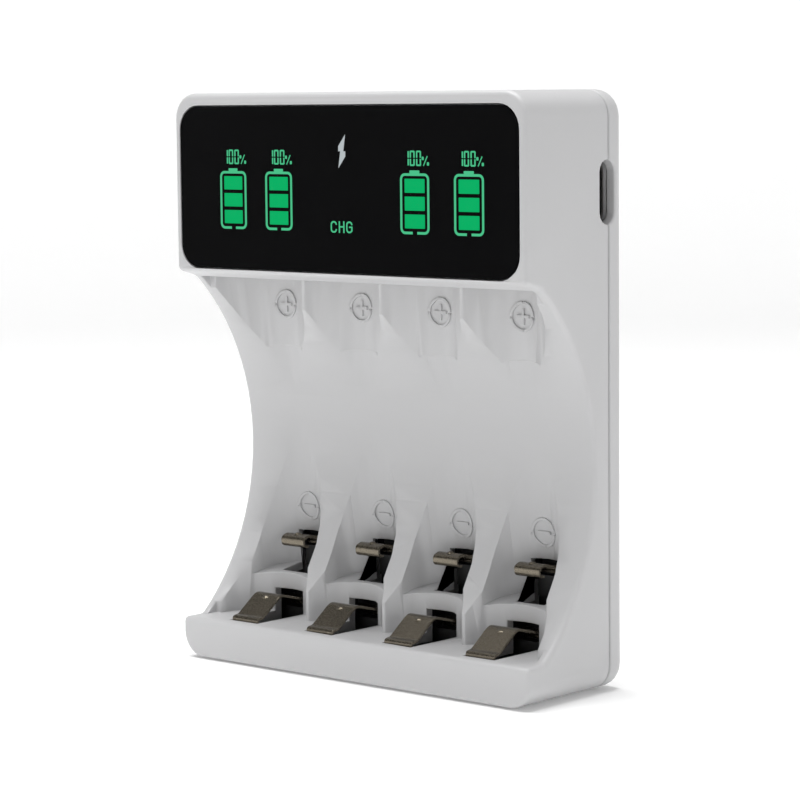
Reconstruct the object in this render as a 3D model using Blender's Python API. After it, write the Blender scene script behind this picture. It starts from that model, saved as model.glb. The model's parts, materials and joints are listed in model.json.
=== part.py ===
"""Four-bay charger for AA and AAA cells, standing upright.

A moulded front housing holds four bays under a glossy display. Each bay has an
AA trough, a leaning AAA trough cut into its foot, one positive plate at the top
and two sprung negative contacts at the bottom. A screwed rear cover closes it.

Metres, +Z up, display facing -Y, origin at the centre of the foot.
Lengths below are measured from the display face (depth, +Y) and the foot (height).
"""
import math

import bmesh
import bpy
from mathutils import Matrix, Vector

for leftover in list(bpy.data.objects):
    bpy.data.objects.remove(leftover, do_unlink=True)

MM = 0.001

# Overall case
WIDTH = 70.4 * MM
HEIGHT = 89.0 * MM
DEPTH = 23.2 * MM
CORNER_RADIUS = 3.9 * MM
FRONT_FILLET = 0.8 * MM
REAR_FILLET = 2.0 * MM
SIDE_WALL = 1.7 * MM
REAR_WALL = 1.5 * MM
COVER_DEPTH = 3.63 * MM
GAP = 0.3 * MM

# Display, hung from the top of the case
LENS_SIDE = 1.35 * MM
LENS_DROP = 2.05 * MM
LENS_HEIGHT = 24.9 * MM
LENS_RADIUS = 3.6 * MM
LENS_THICKNESS = 1.2 * MM
LENS_GAP = 0.2 * MM
LEDGE_THICKNESS = 1.2 * MM
WINDOW_SIDE = 5.65 * MM
WINDOW_RISE = 4.65 * MM
WINDOW_RADIUS = 1.0 * MM
LCD_BORDER = 1.6 * MM
LCD_THICKNESS = 1.8 * MM
LIGHT_BOX_WALL = 1.1 * MM
LIGHT_BOX_RADIUS = 1.2 * MM
LIGHT_BOX_BORE_RADIUS = 0.5 * MM

# Bays below the display; the AA troughs are set by the ribs left between them
BAY_COUNT = 4
BAY_MARGIN = 3.2 * MM
BAY_WALL = 1.3 * MM
FLOOR = 6.3 * MM
FLOOR_WALL = 1.5 * MM
CEILING_DROP = 1.65 * MM
CEILING_WALL = 2.0 * MM
AA_BACK_TO_REAR = 9.83 * MM
RIB_THICKNESS = 0.64 * MM
RIB_BEHIND_AXIS = 3.57 * MM
POCKET_BEHIND_AXIS = 0.95 * MM

# Finger scoop across the whole case, an arc in the side view, and the lip over it
SCOOP_RADIUS = 36.05 * MM
SCOOP_BEHIND_AA = 2.73 * MM
SCOOP_DROP = 0.15 * MM
SCOOP_WALL = 1.5 * MM
LIP_LAND = 0.45 * MM

# AAA troughs lean back towards their foot
AAA_RADIUS = 6.12 * MM
AAA_LEAN = math.radians(9.54)
AAA_LEDGE_HEIGHT = 12.6 * MM
AAA_LEDGE_DEPTH = 6.53 * MM
AAA_HEADROOM = 12.3 * MM
AAA_WALL = 1.0 * MM

# Slots for the negative contacts
AA_STRIP_SIDE = 5.3 * MM
AA_SLOT_REACH = 11.12 * MM
AA_SLOT_TOP = 9.95 * MM
AAA_STRIP_SIDE = 5.6 * MM
AAA_SLOT_SIDE_GAP = 0.4 * MM
AAA_SLOT_BEHIND_AA = 0.93 * MM
AAA_SLOT_TOP = 18.8 * MM
STEEL = 0.4 * MM

# Negative contacts: hinge at the hooked end, bends and bump measured from it
AA_HINGE_BEHIND_AA = 2.83 * MM
AA_HINGE_HEIGHT = 7.9 * MM
AA_HOOK_RADIUS = 0.6 * MM
AA_CORNERS = [(-13.4 * MM, -2.0 * MM), (-13.4 * MM, -1.15 * MM), (-12.2 * MM, -1.05 * MM),
              (-8.0 * MM, 2.0 * MM), (-3.2 * MM, 0.8 * MM)]
AA_BENDS = [0.35 * MM, 1.2 * MM, 1.6 * MM, 6.0 * MM]
AA_BUMP = (-8.5 * MM, 1.55 * MM)
AA_BUMP_RADIUS = 0.8 * MM
AAA_HINGE_HEIGHT = 17.2 * MM
AAA_HOOK_RADIUS = 0.5 * MM
AAA_CORNERS = [(-4.8 * MM, -0.35 * MM), (-5.9 * MM, -0.25 * MM), (-6.05 * MM, 0.9 * MM),
               (-4.8 * MM, 1.35 * MM), (-1.3 * MM, 0.55 * MM)]
AAA_BENDS = [0.5 * MM, 0.5 * MM, 1.2 * MM, 3.0 * MM]
AAA_BUMP = (-4.8 * MM, 1.4 * MM)
AAA_BUMP_RADIUS = 0.64 * MM
BUMP_RISE = 0.35 * MM

# Positive contacts, each in a pocket of its ceiling, measured from the AA trough's back
PLATE_SIDE = 4.5 * MM
PLATE_RECESS = 0.25 * MM
PLATE_REACH = 8.97 * MM
RISER_REACH = 2.87 * MM
PLATE_BEND = 0.6 * MM
TAIL_ON_BOARD = 0.5 * MM
DOME_REACH = 6.77 * MM
DOME_RADIUS = 1.9 * MM
DOME_DROP = 0.45 * MM

# Circuit board and its parts; parts are placed from the display's centre
BOARD_TO_REAR = 7.6 * MM
BOARD_THICKNESS = 1.6 * MM
BOARD_SIDE_GAP = 1.7 * MM
BOARD_BOSS_GAP = 0.65 * MM
BOARD_TOP_GAP = 1.6 * MM
REST_WIDTH = 2.9 * MM
REST_HEIGHT = 2.0 * MM
REST_ABOVE_CEILING = 3.6 * MM
REST_BELOW_TOP = 13.0 * MM
LED_SIZE = (3.0 * MM, 0.9 * MM, 1.6 * MM)
LED_COUNT = 4
CHIP_SIZE = (7.0 * MM, 1.2 * MM, 7.0 * MM)
CHIP_PLACE = (-9.0 * MM, -1.5 * MM)
COIL_SIZE = (6.6 * MM, 3.2 * MM, 6.6 * MM)
COIL_PLACE = (6.0 * MM, 0.5 * MM)
CAPACITOR_RADIUS = 1.8 * MM
CAPACITOR_LENGTH = 8.0 * MM
CAPACITOR_PLACE = (17.0 * MM, -0.5 * MM)

# Charging inlet in the right side, across the seam
USB_SLOT_LENGTH = 9.5 * MM
USB_SLOT_WIDTH = 3.64 * MM
USB_BELOW_CENTRE = 0.45 * MM
USB_SHELL_LENGTH = 8.94 * MM
USB_SHELL_WIDTH = 3.2 * MM
USB_SHELL_DEPTH = 6.8 * MM
USB_SHELL_WALL = 0.3 * MM
USB_TONGUE_LENGTH = 6.6 * MM
USB_TONGUE_THICKNESS = 0.7 * MM
USB_TONGUE_RECESS = 0.8 * MM
USB_BASE_DEPTH = 1.4 * MM

# Screws that hold the rear cover: low ones between two bays, high ones in the corners
BOSS_RADIUS = 2.75 * MM
BOSS_LOW_HEIGHT = 7.0 * MM
BOSS_LOW_BEHIND_RIB = 0.53 * MM
BOSS_HIGH_INSET = 6.0 * MM
BOSS_HIGH_BEHIND_LCD = 0.8 * MM
BOSS_WEB = 1.0 * MM
SCREW_RADIUS = 0.9 * MM
SCREW_LENGTH = 8.0 * MM
SCREW_TIP_ROOM = 1.0 * MM
SCREW_HEAD_RADIUS = 1.8 * MM
SCREW_HEAD_HEIGHT = 1.3 * MM
COUNTERBORE_DEPTH = 2.3 * MM

# Lip of the cover inside the front housing
LIP_WALL = 0.9 * MM
LIP_REACH = 1.3 * MM

# Black carrier of the negative contacts
CARRIER_WALL = 1.1 * MM
CARRIER_PLATE = 0.8 * MM
CARRIER_END = 2.0 * MM
CRADLE_ABOVE_HINGE = 2.9 * MM
BRIDGE_HEIGHT = 2.0 * MM
TOWER_ABOVE_HINGE = 1.8 * MM
TOWER_PLATE = 0.5 * MM
GUIDE_DEPTH = 0.8 * MM
GUIDE_HEIGHT = 3.1 * MM
PAD_DEPTH = 1.3 * MM
PAD_HEIGHT = 3.2 * MM

# Strip and wire that take the negative side up to the board
BUS_HEIGHT = 1.4 * MM
LEAD_RADIUS = 0.5 * MM
LEAD_RISE = 2.5 * MM

# How far a cutting or joining shape runs past the surface that it meets
OVER = 1.0 * MM
FAR = 60.0 * MM

# Depths and heights that follow from the sizes above
SEAM = DEPTH - COVER_DEPTH
HOUSING_END = SEAM - GAP
COVER_INSIDE = DEPTH - REAR_WALL
COUNTERBORE_FLOOR = DEPTH - COUNTERBORE_DEPTH
LEDGE_FRONT = LENS_THICKNESS + GAP
LEDGE_BACK = LEDGE_FRONT + LEDGE_THICKNESS
LCD_FRONT = LEDGE_BACK + GAP
LCD_BACK = LCD_FRONT + LCD_THICKNESS
LENS_WIDTH = WIDTH - 2 * LENS_SIDE
LENS_CENTRE_HEIGHT = HEIGHT - LENS_DROP - LENS_HEIGHT / 2
LENS_BOTTOM = HEIGHT - LENS_DROP - LENS_HEIGHT
WINDOW_WIDTH = LENS_WIDTH - 2 * WINDOW_SIDE
WINDOW_HEIGHT = LENS_HEIGHT - 2 * WINDOW_RISE

FLOOR_UNDER = FLOOR - FLOOR_WALL
CEILING = LENS_BOTTOM - CEILING_DROP
CEILING_TOP = CEILING + CEILING_WALL
BAY_PITCH = (WIDTH - 2 * BAY_MARGIN) / BAY_COUNT
BAYS = [(number - (BAY_COUNT - 1) / 2) * BAY_PITCH for number in range(BAY_COUNT)]
AA_RADIUS = math.hypot((BAY_PITCH - RIB_THICKNESS) / 2, RIB_BEHIND_AXIS)
AA_BACK = DEPTH - AA_BACK_TO_REAR
AA_AXIS_DEPTH = AA_BACK - AA_RADIUS
RIB_DEPTH = AA_AXIS_DEPTH + RIB_BEHIND_AXIS
POCKET_DEPTH = AA_AXIS_DEPTH + POCKET_BEHIND_AXIS
POCKET_HALF = WIDTH / 2 - SIDE_WALL
AAA_LENGTH = (CEILING - AAA_LEDGE_HEIGHT - AAA_HEADROOM) / math.cos(AAA_LEAN)
SCOOP_CENTRE_DEPTH = AA_BACK + SCOOP_BEHIND_AA - SCOOP_RADIUS
SCOOP_CENTRE_HEIGHT = (FLOOR + CEILING) / 2 - SCOOP_DROP
SCOOP_TOP = LENS_BOTTOM - LENS_GAP - LIP_LAND

AA_STRIP_WIDTH = BAY_PITCH - 2 * AA_STRIP_SIDE
AA_SLOT_WIDTH = AA_STRIP_WIDTH + 2 * GAP
AA_HINGE = (AA_BACK + AA_HINGE_BEHIND_AA, AA_HINGE_HEIGHT)
AAA_STRIP_WIDTH = BAY_PITCH - 2 * AAA_STRIP_SIDE
AAA_SLOT_WIDTH = AAA_STRIP_WIDTH + 2 * AAA_SLOT_SIDE_GAP
AAA_HINGE = (AA_BACK + AAA_LEDGE_DEPTH, AAA_HINGE_HEIGHT)
PLATE_WIDTH = BAY_PITCH - 2 * PLATE_SIDE
PLATE_HEIGHT = CEILING + PLATE_RECESS + STEEL / 2

BOSS_LOW = (BAY_PITCH, BOSS_LOW_HEIGHT)
BOSS_LOW_START = RIB_DEPTH + BOSS_LOW_BEHIND_RIB
BOSS_HIGH = (WIDTH / 2 - BOSS_HIGH_INSET, HEIGHT - BOSS_HIGH_INSET)
BOSS_HIGH_START = LCD_BACK + BOSS_HIGH_BEHIND_LCD
LIP_OUTER_INSET = SIDE_WALL + GAP
LIP_INNER_INSET = LIP_OUTER_INSET + LIP_WALL

BOARD_FRONT = DEPTH - BOARD_TO_REAR
BOARD_BACK = BOARD_FRONT + BOARD_THICKNESS
BOARD_BOTTOM = CEILING_TOP + GAP
BOARD_TOP = HEIGHT - SIDE_WALL - BOARD_TOP_GAP
BOARD_WIDE_TOP = BOSS_HIGH[1] - BOSS_RADIUS - BOARD_BOSS_GAP
BOARD_HALF = WIDTH / 2 - SIDE_WALL - BOARD_SIDE_GAP
BOARD_NECK_HALF = BOSS_HIGH[0] - BOSS_RADIUS - BOARD_BOSS_GAP
USB_CENTRE_DEPTH = BOARD_BACK + GAP + USB_SHELL_WIDTH / 2
USB_HEIGHT = LENS_CENTRE_HEIGHT - USB_BELOW_CENTRE
USB_MOUTH = WIDTH / 2 - SIDE_WALL - GAP

CASE_WHITE = (0.80, 0.80, 0.79)
STEEL_GREY = (0.56, 0.54, 0.50)
NYLON_BLACK = (0.012, 0.012, 0.013)

frame = bpy.data.objects.new('charger_frame', None)
frame.location = (0, -DEPTH / 2, 0)
bpy.context.collection.objects.link(frame)


def material(name, colour, roughness, metallic=0.0):
    """A plain Principled material, made once for each name."""
    made = bpy.data.materials.get(name)
    if made is None:
        made = bpy.data.materials.new(name)
        made.use_nodes = True
        surface = made.node_tree.nodes['Principled BSDF']
        surface.inputs['Base Color'].default_value = (*colour, 1.0)
        surface.inputs['Roughness'].default_value = roughness
        surface.inputs['Metallic'].default_value = metallic
    return made


def arc(centre, radius, start, end, steps):
    """Points on a circle from one angle to another, both ends included."""
    angles = [start + (end - start) * step / steps for step in range(steps + 1)]
    return [(centre[0] + radius * math.cos(a), centre[1] + radius * math.sin(a)) for a in angles]


def rounded_rectangle(width, height, radius, steps=7, centre=(0.0, 0.0)):
    """Outline with four round corners, anticlockwise."""
    outline = []
    for turn, (side, rise) in enumerate(((1, 1), (-1, 1), (-1, -1), (1, -1))):
        middle = (centre[0] + side * (width / 2 - radius), centre[1] + rise * (height / 2 - radius))
        start = turn * math.pi / 2
        outline += arc(middle, radius, start, start + math.pi / 2, steps)
    return outline


def case_outline(inset):
    """The case seen from the front, moved in from its outer face."""
    radius = CORNER_RADIUS - inset
    middle = (0.0, HEIGHT / 2)
    return rounded_rectangle(WIDTH - 2 * inset, HEIGHT - 2 * inset, radius, centre=middle)


PLANES = {
    'X': lambda a, b, c: (c, a, b),
    'Y': lambda a, b, c: (a, c, b),
    'Z': lambda a, b, c: (a, b, c),
}


def prism(outline, axis, start, end, name='piece'):
    """Solid with the outline as its section, between two planes across an axis."""
    place = PLANES[axis]
    shape = bmesh.new()
    near = [shape.verts.new(place(a, b, start)) for a, b in outline]
    face = shape.faces.new(near)
    grown = bmesh.ops.extrude_face_region(shape, geom=[face])
    moved = [item for item in grown['geom'] if isinstance(item, bmesh.types.BMVert)]
    bmesh.ops.translate(shape, verts=moved, vec=Vector(place(0, 0, end - start)))
    bmesh.ops.recalc_face_normals(shape, faces=shape.faces)
    mesh = bpy.data.meshes.new(name)
    shape.to_mesh(mesh)
    shape.free()
    solid = bpy.data.objects.new(name, mesh)
    bpy.context.collection.objects.link(solid)
    return solid


def box(x_range, y_range, z_range, name='piece'):
    """Block between two corners."""
    (x0, x1), (y0, y1) = x_range, y_range
    return prism([(x0, y0), (x1, y0), (x1, y1), (x0, y1)], 'Z', *z_range, name)


def cylinder(x, z, radius, start, end, steps=24, name='piece'):
    """Round bar along the depth."""
    ring = arc((x, z), radius, 0, 2 * math.pi, steps)[:-1]
    return prism(ring, 'Y', start, end, name)


def stadium(length, width, centre, steps=7):
    """Slot outline in the side view, with round ends at top and bottom."""
    half = length / 2 - width / 2
    top = arc((centre[0], centre[1] + half), width / 2, 0, math.pi, steps)
    foot = arc((centre[0], centre[1] - half), width / 2, math.pi, 2 * math.pi, steps)
    return top + foot


def combine(target, tools, operation):
    """Exact Boolean of the target with each tool in turn, which is used up."""
    for tool in tools if isinstance(tools, list) else [tools]:
        modifier = target.modifiers.new(operation, 'BOOLEAN')
        modifier.operation = operation
        modifier.object = tool
        graph = bpy.context.evaluated_depsgraph_get()
        result = bpy.data.meshes.new_from_object(target.evaluated_get(graph))
        target.modifiers.clear()
        target.data = result
        bpy.data.objects.remove(tool, do_unlink=True)
    return target


def cut(target, tools):
    return combine(target, tools, 'DIFFERENCE')


def join(target, tools):
    return combine(target, tools, 'UNION')


def fillet(solid, radius, chosen, steps=3):
    """Rounds the edges that the test picks, leaving out edges between level faces."""
    shape = bmesh.new()
    shape.from_mesh(solid.data)
    bmesh.ops.dissolve_limit(shape, angle_limit=math.radians(0.5), verts=shape.verts, edges=shape.edges)
    edges = [edge for edge in shape.edges
             if len(edge.link_faces) == 2 and edge.calc_face_angle(0) > math.radians(25) and chosen(edge)]
    bmesh.ops.bevel(shape, geom=edges, offset=radius, segments=steps, profile=0.5, affect='EDGES')
    bmesh.ops.recalc_face_normals(shape, faces=shape.faces)
    shape.to_mesh(solid.data)
    shape.free()


def finish(solid, name, surface, origin=(0.0, 0.0, 0.0), smooth=30):
    """Names the piece, gives it its material and origin, and hangs it on the frame."""
    solid.name = name
    solid.data.name = name
    solid.data.materials.clear()
    solid.data.materials.append(surface)
    solid.data.transform(Matrix.Translation(-Vector(origin)))
    solid.data.shade_smooth()
    solid.data.set_sharp_from_angle(angle=math.radians(smooth))
    solid.parent = frame
    solid.location = origin
    return solid


def scoop_prism(radius, bottom, top, lip=()):
    """All that lies in front of the scoop's arc, between two heights, with a lip over it."""
    low = math.asin((bottom - SCOOP_CENTRE_HEIGHT) / radius)
    high = math.asin((top - SCOOP_CENTRE_HEIGHT) / radius)
    curve = arc((SCOOP_CENTRE_DEPTH, SCOOP_CENTRE_HEIGHT), radius, low, high, 24)
    crown = lip[-1][1] if lip else top
    return prism([(-FAR, bottom), *curve, *lip, (-FAR, crown)], 'X', -FAR, FAR)


def bay_outline():
    """Plan of the open space: pocket, troughs and the ribs between them."""
    reach_side = math.asin((POCKET_DEPTH - AA_AXIS_DEPTH) / AA_RADIUS)
    reach_rib = math.asin((RIB_DEPTH - AA_AXIS_DEPTH) / AA_RADIUS)
    outline = [(POCKET_HALF, -FAR), (POCKET_HALF, POCKET_DEPTH)]
    for number, x in enumerate(reversed(BAYS)):
        start = reach_side if number == 0 else reach_rib
        end = math.pi - (reach_side if number == BAY_COUNT - 1 else reach_rib)
        outline += arc((x, AA_AXIS_DEPTH), AA_RADIUS, start, end, 18)
    outline += [(-POCKET_HALF, POCKET_DEPTH), (-POCKET_HALF, -FAR)]
    return outline


def aaa_trough(x, radius, lower):
    """Leaning U-shaped block; its foot is square to its axis at the ledge, or lower."""
    outline = arc((0, 0), radius, 0, math.pi, 14)
    outline += [(-radius, -2 * AAA_RADIUS), (radius, -2 * AAA_RADIUS)]
    block = prism(outline, 'Z', -lower, AAA_LENGTH)
    # The back line of the leaning cylinder meets the ledge one radius behind its axis.
    axis_depth = AAA_LEDGE_DEPTH - AAA_RADIUS
    turn = Matrix.Rotation(AAA_LEAN, 4, 'X')
    foot = Vector((x, AA_BACK, AAA_LEDGE_HEIGHT))
    block.data.transform(Matrix.Translation((0, axis_depth, 0)))
    block.data.transform(Matrix.Translation(foot) @ turn)
    return block


def make_front_housing():
    """Outer shell, bays, display seat and screw bosses, moulded as one piece."""
    case = prism(case_outline(0.0), 'Y', 0.0, HOUSING_END, 'front_housing')

    # The arc ends at the ceiling, and a slanted lip goes on to just under the display.
    cut(case, scoop_prism(SCOOP_RADIUS, FLOOR, CEILING, [(0.0, SCOOP_TOP)]))

    def on_show(edge):
        first, second = (vert.co for vert in edge.verts)
        if max(abs(first.y), abs(second.y)) < 1e-6:
            return True
        outside = min(abs(first.x), abs(second.x)) > WIDTH / 2 - 1e-6
        in_scoop = all(FLOOR - 1e-6 < point.z < SCOOP_TOP + 1e-6 for point in (first, second))
        return outside and in_scoop and max(first.y, second.y) < HOUSING_END - 1e-6
    fillet(case, FRONT_FILLET, on_show)

    # Hollow behind the bays, open to the rear.
    hollow = prism(case_outline(SIDE_WALL), 'Y', SIDE_WALL, DEPTH + FAR)
    kept = [scoop_prism(SCOOP_RADIUS + SCOOP_WALL, FLOOR_UNDER, CEILING_TOP)]
    for x in BAYS:
        ring = arc((x, AA_AXIS_DEPTH), AA_RADIUS + BAY_WALL, 0, 2 * math.pi, 36)[:-1]
        kept.append(prism(ring, 'Z', FLOOR_UNDER, CEILING_TOP))
    kept += [aaa_trough(x, AAA_RADIUS + AAA_WALL, BAY_WALL) for x in BAYS]
    kept.append(box((-FAR, FAR), (-FAR, LEDGE_BACK), (CEILING, HEIGHT + FAR)))
    for side in (-1, 1):
        x, z = side * BOSS_LOW[0], BOSS_LOW[1]
        kept.append(cylinder(x, z, BOSS_RADIUS, BOSS_LOW_START, DEPTH))
        x, z = side * BOSS_HIGH[0], BOSS_HIGH[1]
        kept.append(cylinder(x, z, BOSS_RADIUS, BOSS_HIGH_START, DEPTH))
        web = sorted((x, side * WIDTH / 2))
        thick = (z - BOSS_WEB / 2, z + BOSS_WEB / 2)
        kept.append(box(web, (BOSS_HIGH_START, SEAM - LIP_REACH - GAP), thick))
        rest = sorted((side * (POCKET_HALF - REST_WIDTH), side * WIDTH / 2))
        for height in (CEILING + REST_ABOVE_CEILING, HEIGHT - REST_BELOW_TOP):
            kept.append(box(rest, (0, BOARD_FRONT - GAP), (height, height + REST_HEIGHT)))
    cut(hollow, kept)
    cut(case, hollow)

    # Bays, from the front.
    cut(case, prism(bay_outline(), 'Z', FLOOR, CEILING))
    cut(case, [aaa_trough(x, AAA_RADIUS, 0.0) for x in BAYS])
    aa_slot = (AA_BACK - AA_SLOT_REACH, AA_BACK + BAY_WALL + GAP)
    aaa_slot = (AA_BACK + AAA_SLOT_BEHIND_AA, DEPTH)
    room = STEEL / 2 + GAP
    riser = AA_BACK - RISER_REACH
    for x in BAYS:
        half = AA_SLOT_WIDTH / 2
        cut(case, box((x - half, x + half), aa_slot, (FLOOR_UNDER - OVER, AA_SLOT_TOP)))
        half = AAA_SLOT_WIDTH / 2
        cut(case, box((x - half, x + half), aaa_slot, (AAA_LEDGE_HEIGHT - BAY_WALL - GAP, AAA_SLOT_TOP)))
        half = PLATE_WIDTH / 2 + GAP
        pocket = (AA_BACK - PLATE_REACH - GAP, riser + room)
        cut(case, box((x - half, x + half), pocket, (CEILING - OVER, PLATE_HEIGHT + room)))
        cut(case, box((x - half, x + half), (riser - room, riser + room), (CEILING, CEILING_TOP + OVER)))

    # Seat and window of the display, screw holes and the inlet's half slot.
    seat = rounded_rectangle(LENS_WIDTH + 2 * LENS_GAP, LENS_HEIGHT + 2 * LENS_GAP,
                             LENS_RADIUS + LENS_GAP, centre=(0, LENS_CENTRE_HEIGHT))
    cut(case, prism(seat, 'Y', -OVER, LEDGE_FRONT))
    window = rounded_rectangle(WINDOW_WIDTH, WINDOW_HEIGHT, WINDOW_RADIUS, 3, (0, LENS_CENTRE_HEIGHT))
    cut(case, prism(window, 'Y', 0, LEDGE_BACK + OVER))
    for x, z in screw_places():
        hole_start = COUNTERBORE_FLOOR + GAP - SCREW_LENGTH - SCREW_TIP_ROOM
        cut(case, cylinder(x, z, SCREW_RADIUS + GAP, hole_start, DEPTH, 16))
    cut(case, usb_slot())
    return finish(case, 'front_housing', material('white_abs', CASE_WHITE, 0.42))


def screw_places():
    """Side and height of the four screws."""
    return [(side * x, z) for x, z in (BOSS_LOW, BOSS_HIGH) for side in (-1, 1)]


def usb_slot():
    """Round-ended slot through the right wall."""
    outline = stadium(USB_SLOT_LENGTH, USB_SLOT_WIDTH, (USB_CENTRE_DEPTH, USB_HEIGHT))
    return prism(outline, 'X', WIDTH / 2 - SIDE_WALL - OVER, WIDTH / 2 + OVER)


def make_rear_cover():
    """Shallow tray with a rounded rear edge, a lip and four screw posts."""
    cover = prism(case_outline(0.0), 'Y', SEAM, DEPTH, 'rear_cover')
    fillet(cover, REAR_FILLET, lambda edge: min(vert.co.y for vert in edge.verts) > DEPTH - 1e-6, 5)
    join(cover, prism(case_outline(LIP_OUTER_INSET), 'Y', SEAM - LIP_REACH, SEAM + OVER))
    cut(cover, prism(case_outline(LIP_INNER_INSET), 'Y', SEAM - LIP_REACH - OVER, COVER_INSIDE))
    for x, z in screw_places():
        join(cover, cylinder(x, z, BOSS_RADIUS, SEAM, COVER_INSIDE + REAR_WALL / 3))
        cut(cover, cylinder(x, z, SCREW_RADIUS + GAP, SEAM - OVER, DEPTH, 16))
        cut(cover, cylinder(x, z, SCREW_HEAD_RADIUS + GAP, COUNTERBORE_FLOOR, DEPTH + OVER))
    half = USB_SHELL_LENGTH / 2 + 2 * GAP
    room = (WIDTH / 2 - LIP_INNER_INSET - OVER, WIDTH / 2 - SIDE_WALL)
    heights = (USB_HEIGHT - half, USB_HEIGHT + half)
    reach = USB_CENTRE_DEPTH + USB_SHELL_WIDTH / 2 + GAP
    cut(cover, box(room, (SEAM - LIP_REACH - OVER, reach), heights))
    cut(cover, usb_slot())
    return finish(cover, 'rear_cover', material('white_abs', CASE_WHITE, 0.42))


def strip_outline(path, thickness):
    """Constant-thickness band along a side-view path, both sides offset square to it."""
    left, right = [], []
    for index, (y, z) in enumerate(path):
        before = path[max(index - 1, 0)]
        after = path[min(index + 1, len(path) - 1)]
        ahead = Vector((after[0] - y, after[1] - z))
        behind = Vector((y - before[0], z - before[1]))
        one = (ahead if ahead.length else behind).normalized()
        two = (behind if behind.length else ahead).normalized()
        middle = (one + two).normalized()
        reach = thickness / 2 / max(middle.dot(one), 0.3)
        side = Vector((-middle.y, middle.x)) * reach
        left.append((y + side.x, z + side.y))
        right.append((y - side.x, z - side.y))
    return left + right[::-1]


def bent(points, radii, steps=4):
    """Path through the points with each inner corner rounded to its radius."""
    path = [points[0]]
    for index in range(1, len(points) - 1):
        here = Vector(points[index])
        back = (Vector(points[index - 1]) - here).normalized()
        on = (Vector(points[index + 1]) - here).normalized()
        half = back.angle(on) / 2
        radius = radii[index - 1]
        centre = here + (back + on).normalized() * radius / math.sin(half)
        first = here + back * radius / math.tan(half) - centre
        last = here + on * radius / math.tan(half) - centre
        turn = first.angle_signed(last)
        for step in range(steps + 1):
            spoke = first.copy()
            spoke.rotate(Matrix.Rotation(-turn * step / steps, 2))
            path.append(tuple(centre + spoke))
    path.append(points[-1])
    return path


def hook(hinge, radius, steps=8):
    """Half turn from the top of the hinge point round the back to its underside."""
    return arc(hinge, radius, math.pi / 2, -math.pi / 2, steps)


def dome(x, y, z, radius, rise, down=False):
    """Shallow spherical cap, sunk a little into the strip that it is pressed from."""
    ball = (radius ** 2 + rise ** 2) / (2 * rise)
    sweep = math.asin(radius / ball)
    profile = [(ball * math.sin(sweep * step / 4), ball * math.cos(sweep * step / 4) - ball + rise)
               for step in range(1, 5)]
    shape = bmesh.new()
    sign = -1 if down else 1
    tip = shape.verts.new((x, y, z + sign * rise))
    rings = []
    for reach, height in [*profile, (radius, -STEEL / 2)]:
        rings.append([shape.verts.new((x + reach * math.cos(a), y + reach * math.sin(a), z + sign * height))
                      for a in (2 * math.pi * side / 12 for side in range(12))])
    for side in range(12):
        following = (side + 1) % 12
        shape.faces.new((tip, rings[0][side], rings[0][following]))
        for inner, outer in zip(rings, rings[1:]):
            shape.faces.new((inner[side], outer[side], outer[following], inner[following]))
    shape.faces.new(rings[-1])
    bmesh.ops.recalc_face_normals(shape, faces=shape.faces)
    mesh = bpy.data.meshes.new('dome')
    shape.to_mesh(mesh)
    shape.free()
    cap = bpy.data.objects.new('dome', mesh)
    bpy.context.collection.objects.link(cap)
    return cap


def nickel():
    return material('nickel_steel', STEEL_GREY, 0.28, 1.0)


def from_hinge(hinge, offset):
    """Depth and height of a point given from a contact's hinge."""
    return hinge[0] + offset[0], hinge[1] + offset[1]


def sprung_strip(x, hinge, corners, bends, hook_radius, width):
    """Bent strip through its corners, ending in a hook round the hinge."""
    points = [from_hinge(hinge, corner) for corner in corners] + [(hinge[0], hinge[1] + hook_radius)]
    path = bent(points, bends)[:-1] + hook(hinge, hook_radius)
    return prism(strip_outline(path, STEEL), 'X', x - width / 2, x + width / 2)


def make_aa_contact(number, x):
    """Sprung strip: toe in the floor slot, slope, apex, arm and hooked end."""
    contact = sprung_strip(x, AA_HINGE, AA_CORNERS, AA_BENDS, AA_HOOK_RADIUS, AA_STRIP_WIDTH)
    join(contact, dome(x, *from_hinge(AA_HINGE, AA_BUMP), AA_BUMP_RADIUS, BUMP_RISE))
    return finish(contact, 'aa_negative_contact_%d' % number, nickel(), (x, *AA_HINGE))


def make_aaa_contact(number, x):
    """Shorter sprung strip with a rolled nose, an apex bump and a hooked end."""
    contact = sprung_strip(x, AAA_HINGE, AAA_CORNERS, AAA_BENDS, AAA_HOOK_RADIUS, AAA_STRIP_WIDTH)
    join(contact, dome(x, *from_hinge(AAA_HINGE, AAA_BUMP), AAA_BUMP_RADIUS, BUMP_RISE))
    return finish(contact, 'aaa_negative_contact_%d' % number, nickel(), (x, *AAA_HINGE))


def make_positive_contact(number, x):
    """Plate in the ceiling's pocket with a pressed dome; its tail rises through to the board."""
    riser, tail = AA_BACK - RISER_REACH, BOARD_BOTTOM + TAIL_ON_BOARD
    points = [(AA_BACK - PLATE_REACH, PLATE_HEIGHT), (riser, PLATE_HEIGHT), (riser, tail),
              (BOARD_FRONT - GAP, tail)]
    path = bent(points, [PLATE_BEND, PLATE_BEND])
    half = PLATE_WIDTH / 2
    plate = prism(strip_outline(path, STEEL), 'X', x - half, x + half)
    join(plate, dome(x, AA_BACK - DOME_REACH, PLATE_HEIGHT - STEEL / 2, DOME_RADIUS, DOME_DROP, down=True))
    return finish(plate, 'positive_contact_%d' % number, nickel(), (x, riser, PLATE_HEIGHT))


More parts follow.
